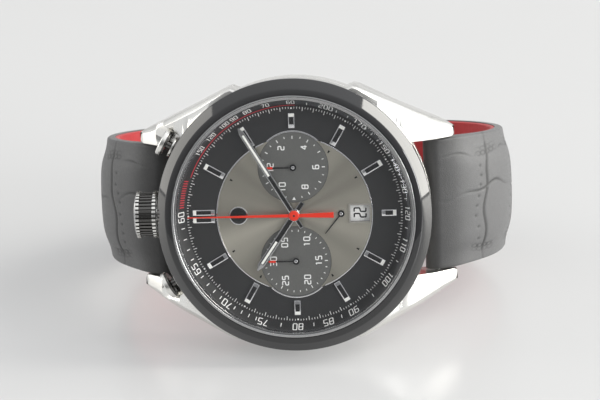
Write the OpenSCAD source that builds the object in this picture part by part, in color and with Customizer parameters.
// Chronograph wristwatch with its crown and pushers at 12 o'clock, lying on its 9 o'clock side
// with the strap closed in a loop. Millimetres.
//
// Each piece is drawn in the watch's own frame: x towards 3 o'clock, y towards 12 o'clock, z out of
// the dial, and z = 0 on the outer face of the case back. stand() then turns the watch on its side
// and leans it back until the case flank and the clasp touch the table at Z = 0.

/* [Case] */
// Diameter of the bezel
bezel_d = 45; // [44.5:0.1:45.5]
// Gap between the lugs, which is the strap's nominal width
lug_gap = 22.1; // [21.5:0.1:22.5]
// Length from lug tip to lug tip
lug_span = 52.2; // [51.5:0.1:53]
// Height of the spring bars above the case back
bar_z = 0.9; // [0.7:0.1:1.1]
// Distance of the spring bars from the centre
bar_y = 22.9; // [22.8:0.1:23.1]

/* [Crown and pushers] */
// Diameter of the crown
crown_d = 7.8; // [7:0.1:7.8]
// Reach of the crown's end from the centre
crown_reach = 26.5; // [26:0.1:27]
// Angle of each pusher from 12 o'clock
pusher_angle = 29; // [27:1:32]
// Diameter of a pusher's cap
pusher_d = 4.6; // [4.2:0.1:4.8]
// Travel of a pusher
pusher_travel = 0.8; // [0.5:0.1:0.85]

/* [Dial] */
// Radius of the silver disc in the dial
disc_r = 12.75; // [12.5:0.05:13]
// Distance of the counters from the centre
counter_x = 7.75; // [7.7:0.05:7.8]
// Radius of a counter
counter_r = 5.8; // [5.6:0.05:5.85]
// Distance of the small seconds from the centre
seconds_y = 7.65; // [7.6:0.05:7.7]
// Minutes past the hour that the hands show
shown_minutes = 9.87; // [0:0.01:59.99]
// Hour that the hands show
shown_hour = 10; // [0:1:11]
// Seconds that the small hand shows
shown_seconds = 51.6; // [0:0.1:59.9]

/* [Strap] */
// Width of the loop over the leather
loop_w = 71; // [70:0.5:72]
// Depth of the loop's widest place behind the case back
loop_mid = 16; // [15:0.5:17]
// Thickness of the padded leather at the lugs
pad_t = 3.2; // [3:0.1:3.4]
// Thickness of the leather at the clasp
end_t = 2.0; // [1.9:0.1:2.2]
// Width of the strap at the clasp
end_w = 18.6; // [18:0.1:18.6]

/* [Hidden] */
$fn = 96;

// Case heights, all in the watch's own z
case_bottom = 1.2;
case_top = 10.6;
bezel_r = bezel_d / 2;
flank_r = bezel_r - 0.2;
foot_r = bezel_r - 0.4;
foot_z = 2.4;
back_r = 19.25;
back_t = 2.4;
window_r = 15.2;
cavity_r = 16.4;
plate_r = 15;

// Dial heights and radii
dial_z = 10.3;
dial_t = 0.4;
dial_r = 18.05;
flange_in = 17.9;
flange_out = 19.75;
glass_r = 19.2;
glass_z = 12.3;
glass_top = 13.9;
marker_h = 0.45;
marker_w = 1.0;
marker_in = 13.1;
short_marker_in = 14.3;
emblem_y = 9.2;
emblem_r = 1.5;
marker_out = 16.7;
window_y = -10.7;
window_l = 3.2;
window_w = 2.7;

// Angles of the hands, clockwise from 12 o'clock
minute_angle = shown_minutes * 6;
hour_angle = shown_hour * 30 + shown_minutes / 2;
second_angle = shown_seconds * 6;

// Going train: tooth counts, modules, and the arbors' places that follow from them
run = 0.05;
pivot_r = 0.12;
barrel_teeth = 72;
centre_leaves = 12;
centre_teeth = 80;
third_leaves = 10;
third_teeth = 75;
fourth_leaves = 10;
fourth_teeth = 84;
escape_leaves = 7;
barrel_module = 0.17;
centre_module = 0.13;
third_module = 0.12;
fourth_module = 0.1;
barrel_dir = 125;
barrel_at = polar((barrel_teeth + centre_leaves) / 2 * barrel_module, barrel_dir);
fourth_at = [0, -seconds_y];
centre_third = (centre_teeth + third_leaves) / 2 * centre_module;
third_fourth = (third_teeth + fourth_leaves) / 2 * third_module;
third_y = -(pow(centre_third, 2) - pow(third_fourth, 2) + pow(seconds_y, 2)) / (2 * seconds_y);
third_at = [sqrt(pow(centre_third, 2) - pow(third_y, 2)), third_y];
escape_dir = 200;
escape_at = fourth_at + polar((fourth_teeth + escape_leaves) / 2 * fourth_module, escape_dir);
balance_at = [-9.0, -4.6];
balance_r = 3.4;
fork_dir = heading(escape_at, balance_at);
fork_at = escape_at + polar(2.75, fork_dir);
fork_reach = norm(balance_at - fork_at) - 0.75;
escape_r = 2.05;

// Heights in the movement
plate_z = 8.2;
plate_t = 1.1;
bridge_z = 3.7;
bridge_top = 4.75;
wheel_t = 0.2;
pillars = [for (a = [0, 60, 165, 300]) polar(13.4, a)];
cock_foot = polar(13.4, 235);
cock_foot_r = 1.6;

// Crown and pushers
crown_r = crown_d / 2;
crown_z = 7.3;
crown_in = bezel_r + 0.25;
pusher_z = 7.0;
pusher_r = pusher_d / 2;
collar_r = 1.8;
collar_out = 23.1;
cap_in = collar_out + pusher_travel + 0.1;
cap_out = 25.1;

// Strap loop: a side arc about (side_y, -loop_mid) runs into a back arc about (0, back_arc_z)
strap_w = lug_gap - 0.3;
lining_t = 0.8;
lining_gap = 0.03;
bar_lift = 1.1;
bar_r = 0.9;
eye_r = 2.1;
widest = loop_w / 2 - (pad_t + end_t) / 2 - 0.3;
bar_drop = bar_z + loop_mid;
side_y = (pow(widest + bar_lift, 2) - pow(bar_y, 2) - pow(bar_drop, 2))
    / (2 * (widest + bar_lift - bar_y));
side_r = widest - side_y;
side_start = atan2(bar_drop, bar_y - side_y);
side_end = -58;
back_arc_r = side_y / cos(side_end) + side_r;
back_arc_z = -loop_mid - side_y * tan(side_end);
arc_steps = 22;

// Clasp, placed by angles about the back arc, positive towards 12 o'clock
play = 0.15;
blade_pin_angle = 20;
strap_upper_end = 17.6;
strap_lower_end = -4;
cover_pin_angle = -13;
cover_from = -11;
cover_to = 13.5;
ear_from = 15;
ear_to = 21.6;
blade_from = -15;
blade_to = 16.8;
cover_t = 1.0;
cover_w = 19.9;
wall_t = 0.5;
blade_t = 0.9;
blade_w = 17.6;
pin_r = 0.5;
pin_arc_r = back_arc_r + end_t / 2;
blade_in = back_arc_r - lining_t - play - blade_t;
cover_in = back_arc_r + end_t + play;
cover_out = cover_in + cover_t;
wall_proud = 0.1;
button_angle = 10.5;
button_r = 0.8;
button_travel = 0.4;
button_out = cover_w / 2 + button_travel + 0.05;
button_in = 8.2;

// Lean of the watch, from the case's foot edge to the cover's edge at the back of the loop
cover_back = back_arc_z - cover_out - wall_proud;
lean = atan2(foot_r - cover_w / 2, foot_z - cover_back);
drop = foot_r * cos(lean) - foot_z * sin(lean);
front_y = -glass_top * cos(lean) - (glass_r - 0.5) * sin(lean);
rear_y = -cover_back * cos(lean) + cover_w / 2 * sin(lean);

function polar(r, a) = [r * cos(a), r * sin(a)];
function heading(a, b) = atan2(b[1] - a[1], b[0] - a[0]);
function mix(a, b, u) = a + (b - a) * u;

// Stands the watch on its side on the table, centred over the origin
module stand()
    translate([0, -(front_y + rear_y) / 2, drop])
        rotate([90 - lean, 0, 0]) rotate([0, 0, 90]) children();

// Turns a shape that points to 12 o'clock clockwise by an angle
module clock(angle) rotate([0, 0, -angle]) children();

// Extrudes an outline given in (y, z) across the watch, along x
module across(width) rotate([90, 0, 90]) linear_extrude(height = width, center = true) children();

// A rod along the direction of 12 o'clock, from radius a to radius b
module rod(r, a, b, z) translate([0, a, z]) rotate([-90, 0, 0]) cylinder(h = b - a, r = r);

// A flat ring or disc at height z
module ring(outer, inner, z, h)
    translate([0, 0, z]) difference() {
        cylinder(h = h, r = outer);
        if (inner > 0) translate([0, 0, -1]) cylinder(h = h + 2, r = inner);
    }

module drill(at, r, z, h) translate([at[0], at[1], z]) cylinder(h = h, r = r);

// A gear outline with straight-sided teeth, the first one at angle phase
module gear(teeth, module_size, phase, z, h) {
    pitch = teeth * module_size / 2;
    step = 360 / teeth;
    points = [for (i = [0 : teeth - 1]) let (a = phase + i * step) each [
        polar(pitch - 1.1 * module_size, a - 0.24 * step),
        polar(pitch + 0.6 * module_size, a - 0.09 * step),
        polar(pitch + 0.6 * module_size, a + 0.09 * step),
        polar(pitch - 1.1 * module_size, a + 0.24 * step)]];
    translate([0, 0, z]) linear_extrude(height = h) polygon(points);
}

// ---------- Case ----------

module lug(side_x, side_y_sign) {
    half = lug_span / 2;
    inner = lug_gap / 2;
    plan = [[inner, 12], [inner, half - 0.4], [inner + 0.4, half], [inner + 1.8, half],
        [inner + 2.25, half - 0.6], [20.9, 10.2], [19.2, 6]];
    side = [[5, 10.2], [13, 9.8], [20.2, 7.4], [24.4, 3.4], [half, 0.9], [half, -0.5],
        [half - 1, -1.5], [half - 3, -1.5], [17, 1.0], [5, 1.5]];
    mirror([side_x < 0 ? 1 : 0, 0, 0]) mirror([0, side_y_sign < 0 ? 1 : 0, 0])
        intersection() {
            translate([0, 0, -2]) linear_extrude(height = 14) polygon(plan);
            across(60) polygon(side);
        }
}

module strap_relief(side_y_sign)
    mirror([0, side_y_sign < 0 ? 1 : 0, 0])
        translate([-lug_gap / 2, 20.25, -3]) cube([lug_gap, 8, 6.9]);

module case_middle()
    color("silver") difference() {
        union() {
            rotate_extrude() polygon([[15.5, case_bottom], [bezel_r - 1.5, case_bottom],
                [foot_r, foot_z], [flank_r, 5], [flank_r, 8.5], [foot_r, 10.2],
                [foot_r - 0.3, case_top], [15.5, case_top]]);
            for (sx = [-1, 1]) for (sy = [-1, 1]) lug(sx, sy);
        }
        translate([0, 0, -3]) cylinder(h = 20, r = cavity_r);
        translate([0, 0, -3]) cylinder(h = 5.6, r = back_r + 0.05);
        translate([0, 0, dial_z - dial_t]) cylinder(h = 5, r = dial_r + 0.05);
        translate([0, 0, dial_z]) cylinder(h = 5, r = flange_out + 0.05);
        for (sy = [-1, 1]) {
            strap_relief(sy);
            translate([-lug_gap / 2 - 1.1, sy * bar_y, bar_z]) rotate([0, 90, 0])
                cylinder(h = lug_gap + 2.2, r = 0.5);
        }
        rod(1.3, 15, 24, crown_z);
        for (s = [-1, 1]) clock(s * pusher_angle) {
            rod(1.5, 15, 24, pusher_z);
            rod(pusher_r + 0.25, flank_r + 0.2, lug_span / 2 + 2, pusher_z);
        }
    }

module bezel()
    color([0.05, 0.05, 0.05]) rotate_extrude() polygon([
        [flange_out + 0.05, case_top], [bezel_r - 0.8, case_top], [bezel_r - 0.8, 10.95],
        [bezel_r - 0.2, 10.95], [bezel_r, 11.15], [bezel_r, 11.6], [bezel_r - 1.5, 13.2],
        [bezel_r - 2.55, 13.5], [bezel_r - 2.55, glass_z - 0.1],
        [flange_out + 0.05, glass_z - 0.1]]);

module crystal()
    color([0.8, 0.9, 1, 0.3]) rotate_extrude() polygon([[0, glass_z], [glass_r, glass_z],
        [glass_r, glass_top - 0.4], [glass_r - 0.5, glass_top], [0, glass_top]]);

module crystal_ring()
    color("silver") ring(bezel_r - 2.55, glass_r, glass_z - 0.1, 1.2);

module flange_ring()
    color([0.15, 0.15, 0.16]) rotate_extrude() polygon([[flange_in, dial_z],
        [flange_out, dial_z], [flange_out, glass_z - 0.1], [glass_r - 0.05, glass_z - 0.1]]);

module case_back()
    color("silver") rotate_extrude() polygon([[window_r - 0.7, 0], [back_r - 0.8, 0],
        [back_r, 0.6], [back_r, back_t], [window_r + 0.05, back_t], [window_r + 0.05, 0.5],
        [window_r - 0.7, 0.5]]);

module back_window() color([0.8, 0.9, 1, 0.3]) ring(window_r, 0, 0.5, 1.2);

module back_gasket() color([0.1, 0.1, 0.1]) ring(19, 17.2, back_t, 0.2);

// ---------- Dial ----------

// Outline of the date opening
module date_opening(grow)
    translate([-window_w / 2 - grow, window_y - window_l / 2 - grow])
        square([window_w + 2 * grow, window_l + 2 * grow]);

// Places of the three sub-dial arbors
sub_arbors = [[counter_x, 0], [-counter_x, 0], fourth_at];

module dial_plate()
    color([0.2, 0.2, 0.21]) translate([0, 0, dial_z - dial_t]) linear_extrude(height = dial_t)
        difference() {
            circle(r = dial_r);
            circle(r = 0.85);
            for (p = sub_arbors) translate(p) circle(r = 0.3);
            date_opening(0);
        }

module dial_centre_disc()
    color([0.82, 0.82, 0.84]) translate([0, 0, dial_z]) linear_extrude(height = 0.12)
        difference() {
            circle(r = disc_r);
            circle(r = 0.85);
            for (s = [-1, 1]) translate([s * counter_x, 0]) circle(r = counter_r + 0.02);
            translate(fourth_at) circle(r = 0.3);
            date_opening(0.02);
        }

module counter_discs()
    color([0.2, 0.2, 0.21]) for (s = [-1, 1])
        translate([s * counter_x, 0, 0]) ring(counter_r - 0.02, 0.3, dial_z, 0.06);

module counter_rims()
    color("silver") for (s = [-1, 1])
        difference() {
            translate([s * counter_x, 0, 0]) ring(counter_r + 0.35, counter_r, dial_z, 0.22);
            drill([0, 0], disc_r + 0.02, 9, 3);
        }

// A baton between two radii, with a chamfered top, pointing to 12 o'clock
module baton(from, to, width)
    intersection() {
        translate([-width / 2, from, dial_z]) cube([width, to - from, marker_h]);
        across(width + 1) polygon([[from, dial_z - 1], [to, dial_z - 1], [to, dial_z + 0.3],
            [to - 0.15, dial_z + marker_h], [from + 0.15, dial_z + marker_h],
            [from, dial_z + 0.3]]);
        translate([0, from - 1, 0]) rotate([-90, 0, 0]) linear_extrude(height = to - from + 2)
            polygon([[-width / 2, -dial_z], [width / 2, -dial_z],
                [width / 2, -dial_z - 0.3], [width / 2 - 0.15, -dial_z - marker_h],
                [0.15 - width / 2, -dial_z - marker_h], [-width / 2, -dial_z - 0.3]]);
    }

module hour_markers()
    color("silver") {
        for (h = [1, 2, 4, 5, 7, 8, 10, 11]) clock(h * 30) baton(marker_in, marker_out, marker_w);
        for (h = [3, 6, 9]) clock(h * 30) baton(short_marker_in, marker_out, marker_w);
        for (s = [-1, 1]) translate([s * 0.62, 0, 0]) baton(marker_in, marker_out, 0.9);
    }

module dial_emblem()
    color([0.1, 0.1, 0.1]) translate([0, emblem_y, 0]) ring(emblem_r, 0, dial_z + 0.12, 0.2);

module date_frame()
    color("silver") translate([0, 0, dial_z + 0.12]) linear_extrude(height = 0.2)
        difference() {
            date_opening(0.25);
            date_opening(0);
        }

module date_wheel()
    color("white") ring(13.1, 8.6, 9.42, 0.34);

// ---------- Hands ----------

// A lance-shaped hand that points to 12 o'clock, with its hub and pipe
module lance_hand(angle, reach, tail, width, z, hub_r, bore)
    clock(angle) difference() {
        union() {
            translate([0, 0, z]) linear_extrude(height = 0.18)
                polygon([[-width / 3, -tail], [width / 3, -tail], [width / 2, 0],
                    [width / 2, reach - 2.2], [0.06, reach], [-0.06, reach],
                    [-width / 2, reach - 2.2], [-width / 2, 0]]);
            drill([0, 0], hub_r, z, 0.22);
        }
        drill([0, 0], bore, 0, 20);
    }

// A thin tapered hand that points to 12 o'clock, with a wider counterweight
module needle_hand(reach, tail, tip_w, hub_w, tail_w, z, hub_r, h)
    translate([0, 0, z]) linear_extrude(height = h) {
        polygon([[-tail_w / 2, -tail], [tail_w / 2, -tail], [hub_w / 2, 0], [tip_w / 2, reach],
            [-tip_w / 2, reach], [-hub_w / 2, 0]]);
        circle(r = hub_r);
    }

module hour_hand()
    color([0.75, 0.75, 0.77]) difference() {
        union() {
            lance_hand(hour_angle, 11.1, 2.5, 1.35, 11.0, 1.05, 0.3);
            drill([0, 0], 0.75, 9.5, 1.6);
        }
        drill([0, 0], 0.5, 0, 20);
    }

module minute_hand()
    color([0.75, 0.75, 0.77]) lance_hand(minute_angle, 16.9, 2.4, 1.1, 11.38, 0.95, 0.45);

module stopwatch_hand()
    color("red") difference() {
        union() {
            needle_hand(17.5, 6.5, 0.12, 0.5, 0.9, 11.75, 0.82, 0.14);
            drill([0, 0], 0.5, 11.68, 0.4);
        }
        drill([0, 0], pivot_r, 0, 20);
    }

// A sub-dial hand on its own arbor, which runs down to a height in the movement
module counter_hand(at, angle, reach, arbor_from)
    translate([at[0], at[1], 0]) clock(angle) {
        needle_hand(reach, 1.5, 0.1, 0.45, 0.4, 10.62, 0.5, 0.12);
        drill([0, 0], pivot_r, arbor_from, 10.74 - arbor_from);
    }

module small_seconds_hand()
    color([0.1, 0.1, 0.1]) difference() {
        counter_hand(fourth_at, second_angle, 4.05, 10.62);
        drill(fourth_at, pivot_r, 0, 20);
    }

module minute_counter_hand()
    color([0.1, 0.1, 0.1]) counter_hand([-counter_x, 0], 0, 4.6, 8.6);

module hour_counter_hand()
    color([0.1, 0.1, 0.1]) counter_hand([counter_x, 0], 0, 4.6, 8.6);

// ---------- Movement ----------

// Every pivot that a jewel carries, first in the main plate and then in the bridges
plate_pivots = [third_at, fourth_at, escape_at, fork_at, balance_at, [counter_x, 0],
    [-counter_x, 0]];
bridge_pivots = [[0, 0], third_at, fourth_at, escape_at, fork_at];
jewel_r = 0.6;
jewel_t = 0.5;

module movement_ring()
    color("gray") difference() {
        ring(cavity_r - 0.05, plate_r + 0.05, 3.7, 5.6);
        rod(0.9, 14, 18, crown_z);
        for (s = [-1, 1]) clock(s * pusher_angle) rod(1.6, 14, 18, pusher_z);
    }

module main_plate()
    color("gold") difference() {
        union() {
            drill([0, 0], plate_r, plate_z, plate_t);
            for (p = pillars) drill(p, 1.2, bridge_top, plate_z - bridge_top);
            drill(cock_foot, 1.2, bridge_top, plate_z - bridge_top);
        }
        drill([0, 0], 0.5, 0, 20);
        drill(barrel_at, 0.8, 0, 20);
        for (p = plate_pivots) {
            drill(p, pivot_r + run, 0, 20);
            drill(p, jewel_r, 0, plate_z + jewel_t);
        }
        for (p = pillars) drill(p, 0.45, 0, 7);
        drill(cock_foot, 0.45, 0, 7);
    }

// The arm of the balance cock, from its foot to the balance staff
module cock_arm(half, z, h)
    translate([cock_foot[0], cock_foot[1], z])
        rotate([0, 0, heading(cock_foot, balance_at)]) translate([0, -half, 0])
            cube([norm(balance_at - cock_foot), 2 * half, h]);

module train_bridge()
    color([0.8, 0.8, 0.78]) difference() {
        drill([0, 0], plate_r - 0.2, bridge_z, bridge_top - bridge_z);
        drill(balance_at, 1.65, 0, 20);
        cock_arm(1.25, 0, 20);
        drill(cock_foot, cock_foot_r + 0.15, 0, 20);
        for (p = bridge_pivots) {
            drill(p, pivot_r + run, 0, 20);
            drill(p, jewel_r, bridge_top - jewel_t, 5);
        }
        drill(barrel_at, 0.8, 0, 20);
        for (p = pillars) {
            drill(p, 0.5, 0, 20);
            drill(p, 0.95, 0, bridge_z + 0.5);
        }
    }

module balance_cock()
    color([0.8, 0.8, 0.78]) difference() {
        union() {
            drill(cock_foot, cock_foot_r, bridge_z, bridge_top - bridge_z);
            drill(balance_at, 1.5, bridge_z, 0.8);
            cock_arm(1.1, bridge_z, 0.8);
        }
        drill(balance_at, jewel_r, bridge_z + 0.3, 5);
        drill(balance_at, pivot_r + run, 0, 20);
        drill(cock_foot, 0.5, 0, 20);
        drill(cock_foot, 0.95, 0, bridge_z + 0.5);
    }

module bridge_screws()
    color([0.3, 0.35, 0.6]) for (p = concat(pillars, [cock_foot]))
        difference() {
            union() {
                drill(p, 0.9, bridge_z + 0.05, 0.45);
                drill(p, 0.44, bridge_z + 0.5, 2.4);
            }
            translate([p[0] - 1, p[1] - 0.1, bridge_z]) cube([2, 0.2, 0.25]);
        }

module jewel(at, z)
    translate([at[0], at[1], 0]) ring(jewel_r, pivot_r + run, z, jewel_t);

module jewels()
    color([0.8, 0.1, 0.3]) {
        for (p = plate_pivots) jewel(p, plate_z);
        for (p = bridge_pivots) jewel(p, bridge_top - jewel_t);
        jewel(balance_at, bridge_z + 0.3);
    }

module barrel()
    color("gold") translate([barrel_at[0], barrel_at[1], 0]) difference() {
        union() {
            gear(barrel_teeth, barrel_module, barrel_dir + 180, 7.2, 0.5);
            ring(5.7, 0, 5.5, 2.3);
            drill([0, 0], 0.75, 4.1, 4.9);
        }
        translate([0, 0, 5.8]) rotate_extrude() translate([1.2, 0]) square([4.1, 1.7]);
    }

// Mainspring: flat turns inside the barrel, each a little wider than the last
module mainspring()
    color([0.5, 0.5, 0.6]) for (i = [0 : 5])
        translate([barrel_at[0], barrel_at[1], 0]) ring(2.2 + i * 0.55, 2.0 + i * 0.55, 5.8, 1.7);

// A train wheel: rim, spokes and hub at one height, its pinion at another, on one arbor
module train_wheel(at, teeth, size, phase, z, leaves, leaf_size, leaf_phase, leaf_z, from, to)
    translate([at[0], at[1], 0]) {
        pitch = teeth * size / 2;
        difference() {
            gear(teeth, size, phase, z, wheel_t);
            for (i = [0 : 3]) drill(polar(0.56 * pitch, 45 + 90 * i), 0.27 * pitch, z - 1, 2);
        }
        gear(leaves, leaf_size, leaf_phase, leaf_z, 0.55);
        drill([0, 0], 0.3, min(z, leaf_z), abs(leaf_z - z) + 0.2);
        drill([0, 0], pivot_r, from, to - from);
    }

module centre_wheel()
    color("gold") difference() {
        union() {
            difference() {
                gear(centre_teeth, centre_module, heading([0, 0], third_at), 5.0, wheel_t);
                for (i = [0 : 3]) drill(polar(2.9, 20 + 90 * i), 1.4, 4, 2);
            }
            gear(centre_leaves, barrel_module, barrel_dir + 180 / centre_leaves, 7.15, 0.6);
            drill([0, 0], 0.45, 5.0, 6.6);
        }
        drill([0, 0], pivot_r + run, 0, 20);
    }

module third_wheel()
    color("gold") train_wheel(third_at, third_teeth, third_module,
        heading(third_at, fourth_at), 6.0, third_leaves, centre_module,
        heading(third_at, [0, 0]) + 180 / third_leaves, 4.85, 4.3, 8.65);

module fourth_wheel()
    color("gold") train_wheel(fourth_at, fourth_teeth, fourth_module, escape_dir, 7.0,
        fourth_leaves, third_module, heading(fourth_at, third_at) + 180 / fourth_leaves, 5.85,
        4.3, 10.74);

module escape_wheel()
    color([0.75, 0.75, 0.78]) translate([escape_at[0], escape_at[1], 0]) {
        translate([0, 0, 6.2]) linear_extrude(height = wheel_t) difference() {
            polygon([for (i = [0 : 19]) let (a = i * 18) each [polar(1.55, a - 6),
                polar(escape_r, a), polar(escape_r, a + 1.5), polar(1.55, a + 3)]]);
            for (i = [0 : 3]) translate(polar(0.95, 90 * i)) circle(r = 0.38);
        }
        gear(escape_leaves, fourth_module, escape_dir + 180 + 180 / escape_leaves, 6.9, 0.4);
        drill([0, 0], 0.2, 6.2, 0.9);
        drill([0, 0], pivot_r, 4.3, 4.35);
    }

module pallet_fork()
    color([0.75, 0.75, 0.78]) translate([fork_at[0], fork_at[1], 0])
        rotate([0, 0, fork_dir]) {
            translate([0, 0, 6.2]) linear_extrude(height = wheel_t) {
                polygon([[-0.35, -1.7], [0.25, -1.7], [0.25, 1.7], [-0.35, 1.7]]);
                translate([0, -0.16]) square([fork_reach - 0.5, 0.32]);
                translate([fork_reach - 0.7, -0.45]) square([0.25, 0.9]);
                for (s = [-1, 1]) translate([fork_reach - 0.7, s * 0.36 - 0.09])
                    square([0.7, 0.18]);
            }
            drill([0, 0], pivot_r, 4.3, 4.35);
        }

module balance_wheel()
    color("gold") translate([balance_at[0], balance_at[1], 0]) {
        difference() {
            ring(balance_r, 0, 5.5, 0.4);
            for (s = [-1, 1]) translate([0, 0, 5]) rotate([0, 0, 90 * (1 - s)])
                linear_extrude(height = 2) intersection() {
                    circle(r = balance_r - 0.7);
                    translate([-5, 0.4]) square([10, 5]);
                }
        }
        drill([0, 0], 0.45, 5.5, 0.45);
        drill([0, 0], pivot_r, 4.1, 4.55);
    }

// Hairspring: fine flat turns about the balance staff, joined by its collet
module hairspring()
    color([0.3, 0.35, 0.6]) translate([balance_at[0], balance_at[1], 0]) {
        for (i = [0 : 4]) ring(0.88 + i * 0.34, 0.8 + i * 0.34, 5.0, 0.15);
        ring(0.5, pivot_r, 5.0, 0.4);
        translate([0.45, -0.05, 5.0]) cube([1.75, 0.1, 0.15]);
    }

module stopwatch_runner()
    color("gold") {
        ring(3.6, 0, 4.8, 0.12);
        drill([0, 0], pivot_r, 4.3, 7.7);
    }

// Winding rotor: a half disc with a heavy rim that hangs towards 9 o'clock
module rotor()
    color([0.7, 0.7, 0.72]) difference() {
        union() {
            intersection() {
                union() {
                    ring(14.6, 0, 2.85, 0.35);
                    ring(14.6, 12.6, 2.6, 0.8);
                }
                translate([-16, -16, 0]) cube([16, 32, 5]);
            }
            ring(3, 0, 2.85, 0.35);
        }
        drill([0, 0], 1.65, 0, 10);
    }

module rotor_bearing()
    color("silver") difference() {
        union() {
            drill([0, 0], 1.6, 2.75, 0.95);
            drill([0, 0], 2.1, 2.5, 0.3);
            drill([0, 0], 2.1, 3.25, 0.45);
        }
        translate([-1, -0.2, 2.4]) cube([2, 0.4, 0.4]);
    }

// ---------- Crown and pushers ----------

module winding_stem()
    color("silver") {
        rod(0.5, 14.4, crown_in + 1.5, crown_z);
        rod(0.75, 16.2, 16.6, crown_z);
    }

// Crown: plain bands at both ends and a fluted band between them
module crown() {
    flutes = 26;
    band = 0.9;
    points = [for (i = [0 : flutes - 1]) let (a = i * 360 / flutes) each [
        polar(crown_r - 0.55, a), polar(crown_r - 0.15, a + 90 / flutes),
        polar(crown_r - 0.15, a + 270 / flutes)]];
    color("silver") difference() {
        union() {
            rod(crown_r, crown_in, crown_in + band, crown_z);
            rod(crown_r, crown_reach - band, crown_reach - 0.25, crown_z);
            rod(crown_r - 0.3, crown_reach - 0.3, crown_reach, crown_z);
            translate([0, crown_in + 0.5, crown_z]) rotate([-90, 0, 0])
                linear_extrude(height = crown_reach - crown_in - 1) polygon(points);
        }
        rod(0.5, 0, crown_in + 1.5, crown_z);
        rod(2.1, 0, crown_in + 1.3, crown_z);
    }
}

module crown_gasket()
    color([0.1, 0.1, 0.1]) difference() {
        rod(0.82, 21.1, 21.9, crown_z);
        rod(0.55, 20, 23, crown_z);
    }

module crown_tube()
    color("silver") difference() {
        rod(1.3, 17.0, 22.9, crown_z);
        rod(0.87, 15, 24, crown_z);
    }

module pusher(side)
    color("silver") clock(side * pusher_angle) {
        rod(0.7, 16.0, cap_in + 0.1, pusher_z);
        rod(pusher_r, cap_in, cap_out - 0.25, pusher_z);
        rod(pusher_r - 0.25, cap_out - 0.3, cap_out, pusher_z);
    }

module pusher_start() pusher(1);
module pusher_reset() pusher(-1);

module pusher_tubes()
    color("silver") for (s = [-1, 1]) clock(s * pusher_angle) difference() {
        union() {
            rod(1.5, 17.2, collar_out, pusher_z);
            rod(collar_r, flank_r + 0.35, collar_out, pusher_z);
        }
        rod(0.75, 15, 25, pusher_z);
    }

// ---------- Strap ----------

// Thickness of the leather, from the lug (u = 0) to the end of the side arc (u = 1)
function leather_t(u) = mix(pad_t, end_t, pow(u, 1.6));

// Points on a curve that lies out from the loop by share * leather + extra
function side_points(share, extra, u0) = [for (i = [0 : arc_steps])
    let (u = mix(u0, 1, i / arc_steps), a = mix(side_start, side_end, u))
        [side_y, -loop_mid] + polar(side_r + share * leather_t(u) + extra, a)];
function back_points(r, from, to) = [for (i = [1 : arc_steps])
    [0, back_arc_z] + polar(r, mix(from, to, i / arc_steps) - 90)];
function back_place(r, angle) = [0, back_arc_z] + polar(r, angle - 90);
function reverse(list) = [for (i = [len(list) - 1 : -1 : 0]) list[i]];

// A layer of the strap on the 12 o'clock side, between an inner and an outer curve
module layer(share, inner, outer, u0, end)
    polygon(concat(
        side_points(share, outer, u0),
        back_points(back_arc_r + share * end_t + outer, 90 + side_end, end),
        reverse(back_points(back_arc_r + inner, 90 + side_end, end)),
        reverse(side_points(0, inner, u0))));

// Narrows the strap from the lugs to the clasp, as seen along y
module strap_taper()
    rotate([90, 0, 0]) linear_extrude(height = 100, center = true)
        polygon([[-strap_w / 2, 6], [strap_w / 2, 6], [strap_w / 2, -1], [end_w / 2, -36],
            [end_w / 2, -50], [-end_w / 2, -50], [-end_w / 2, -36], [-strap_w / 2, -1]]);

module leather(end, pin_angle)
    difference() {
        intersection() {
            union() {
                across(strap_w + 1) layer(1, 0, 0, 0, end);
                translate([0, bar_y, bar_z]) rotate([0, 90, 0])
                    cylinder(h = strap_w, r = eye_r, center = true);
            }
            strap_taper();
        }
        translate([0, bar_y, bar_z]) rotate([0, 90, 0])
            cylinder(h = 60, r = bar_r + run, center = true);
        across(60) translate(back_place(pin_arc_r, pin_angle)) circle(r = pin_r + run);
    }

module lining(end)
    intersection() {
        difference() {
            across(strap_w + 1) layer(0, -lining_t, -lining_gap, 0.06, end);
            translate([0, bar_y, bar_z]) rotate([0, 90, 0])
                cylinder(h = 60, r = eye_r, center = true);
        }
        strap_taper();
    }

module strap_upper_leather()
    color([0.4, 0.4, 0.4]) leather(strap_upper_end, blade_pin_angle);

module strap_upper_lining() color([0.6, 0.1, 0.1]) lining(strap_upper_end);

module strap_lower_leather()
    color([0.4, 0.4, 0.4]) mirror([0, 1, 0]) leather(strap_lower_end, -cover_pin_angle);

module strap_lower_lining()
    color([0.6, 0.1, 0.1]) mirror([0, 1, 0]) lining(strap_lower_end);

module spring_bars()
    color("silver") for (s = [-1, 1]) translate([0, s * bar_y, bar_z]) rotate([0, 90, 0]) {
        cylinder(h = lug_gap - 0.4, r = bar_r, center = true);
        cylinder(h = lug_gap + 2, r = 0.45, center = true);
    }

// ---------- Clasp ----------

// An arched strip between two radii and two angles about the back arc
module arch(inner, outer, from, to, width)
    across(width) polygon(concat([back_place(outer, from)],
        [for (p = back_points(outer, from, to)) p],
        reverse(back_points(inner, from, to)), [back_place(inner, from)]));

module clasp_blade()
    color("silver") difference() {
        union() {
            arch(blade_in, blade_in + blade_t, blade_from, blade_to, blade_w);
            arch(blade_in, blade_in + blade_t, ear_from, blade_to, end_w + 2 * (play + wall_t));
            for (s = [-1, 1]) translate([s * (end_w / 2 + play + wall_t / 2), 0, 0]) {
                arch(blade_in, pin_arc_r, ear_from, ear_to, wall_t);
                across(wall_t) translate(back_place(pin_arc_r, blade_pin_angle))
                    circle(r = 1.2);
            }
        }
        across(60) translate(back_place(pin_arc_r, blade_pin_angle)) circle(r = pin_r + run);
    }

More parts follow.
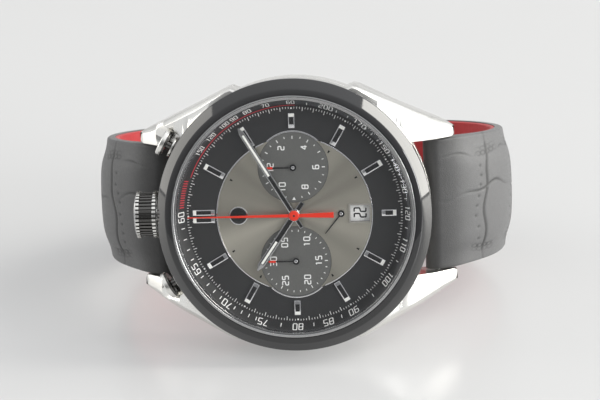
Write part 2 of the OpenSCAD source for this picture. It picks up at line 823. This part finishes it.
// A side wall of the cover, with a straight back edge that the watch can lie on
module cover_wall()
    across(wall_t) polygon(concat(
        [[cover_out * sin(cover_to), cover_back], [cover_out * sin(cover_from), cover_back]],
        back_points(back_arc_r - lining_t, cover_from, cover_to)));

module clasp_cover()
    color("silver") difference() {
        union() {
            arch(cover_in, cover_out, cover_from, cover_to, cover_w);
            for (s = [-1, 1]) translate([s * (cover_w - wall_t) / 2, 0, 0]) {
                cover_wall();
                arch(pin_arc_r - 0.6, pin_arc_r + 0.6, cover_pin_angle, cover_from + 0.2, wall_t);
                across(wall_t) translate(back_place(pin_arc_r, cover_pin_angle))
                    circle(r = 1.0);
            }
        }
        across(60) translate(back_place(pin_arc_r, cover_pin_angle)) circle(r = pin_r + run);
        across(60) translate(back_place(pin_arc_r, button_angle)) circle(r = button_r + run);
    }

module clasp_pin(angle)
    color("silver") across(end_w + 2 * play + 2 * wall_t - 0.1)
        translate(back_place(pin_arc_r, angle)) circle(r = pin_r);

module clasp_blade_pin() clasp_pin(blade_pin_angle);
module clasp_cover_pin() clasp_pin(cover_pin_angle);

// A release button in the cover's wall, held by a flange on its inner end
module clasp_button(side)
    color("silver") mirror([side < 0 ? 1 : 0, 0, 0]) {
        translate([(button_out + button_in) / 2, 0, 0])
            across(button_out - button_in)
                translate(back_place(pin_arc_r, button_angle)) circle(r = button_r);
        translate([cover_w / 2 - wall_t - 0.3, 0, 0]) across(0.5)
            translate(back_place(pin_arc_r, button_angle)) circle(r = button_r + 0.28);
    }

module clasp_button_upper() clasp_button(1);
module clasp_button_lower() clasp_button(-1);

stand() case_middle();
stand() bezel();
stand() crystal();
stand() crystal_ring();
stand() flange_ring();
stand() dial_plate();
stand() dial_centre_disc();
stand() counter_discs();
stand() counter_rims();
stand() hour_markers();
stand() dial_emblem();
stand() date_frame();
stand() date_wheel();
stand() hour_hand();
stand() minute_hand();
stand() stopwatch_hand();
stand() small_seconds_hand();
stand() minute_counter_hand();
stand() hour_counter_hand();
stand() movement_ring();
stand() main_plate();
stand() train_bridge();
stand() balance_cock();
stand() bridge_screws();
stand() jewels();
stand() barrel();
stand() mainspring();
stand() centre_wheel();
stand() third_wheel();
stand() fourth_wheel();
stand() escape_wheel();
stand() pallet_fork();
stand() balance_wheel();
stand() hairspring();
stand() stopwatch_runner();
stand() rotor();
stand() rotor_bearing();
stand() winding_stem();
stand() crown();
stand() crown_gasket();
stand() crown_tube();
stand() pusher_start();
stand() pusher_reset();
stand() pusher_tubes();
stand() case_back();
stand() back_window();
stand() back_gasket();
stand() spring_bars();
stand() strap_upper_leather();
stand() strap_upper_lining();
stand() strap_lower_leather();
stand() strap_lower_lining();
stand() clasp_blade();
stand() clasp_cover();
stand() clasp_blade_pin();
stand() clasp_cover_pin();
stand() clasp_button_upper();
stand() clasp_button_lower();
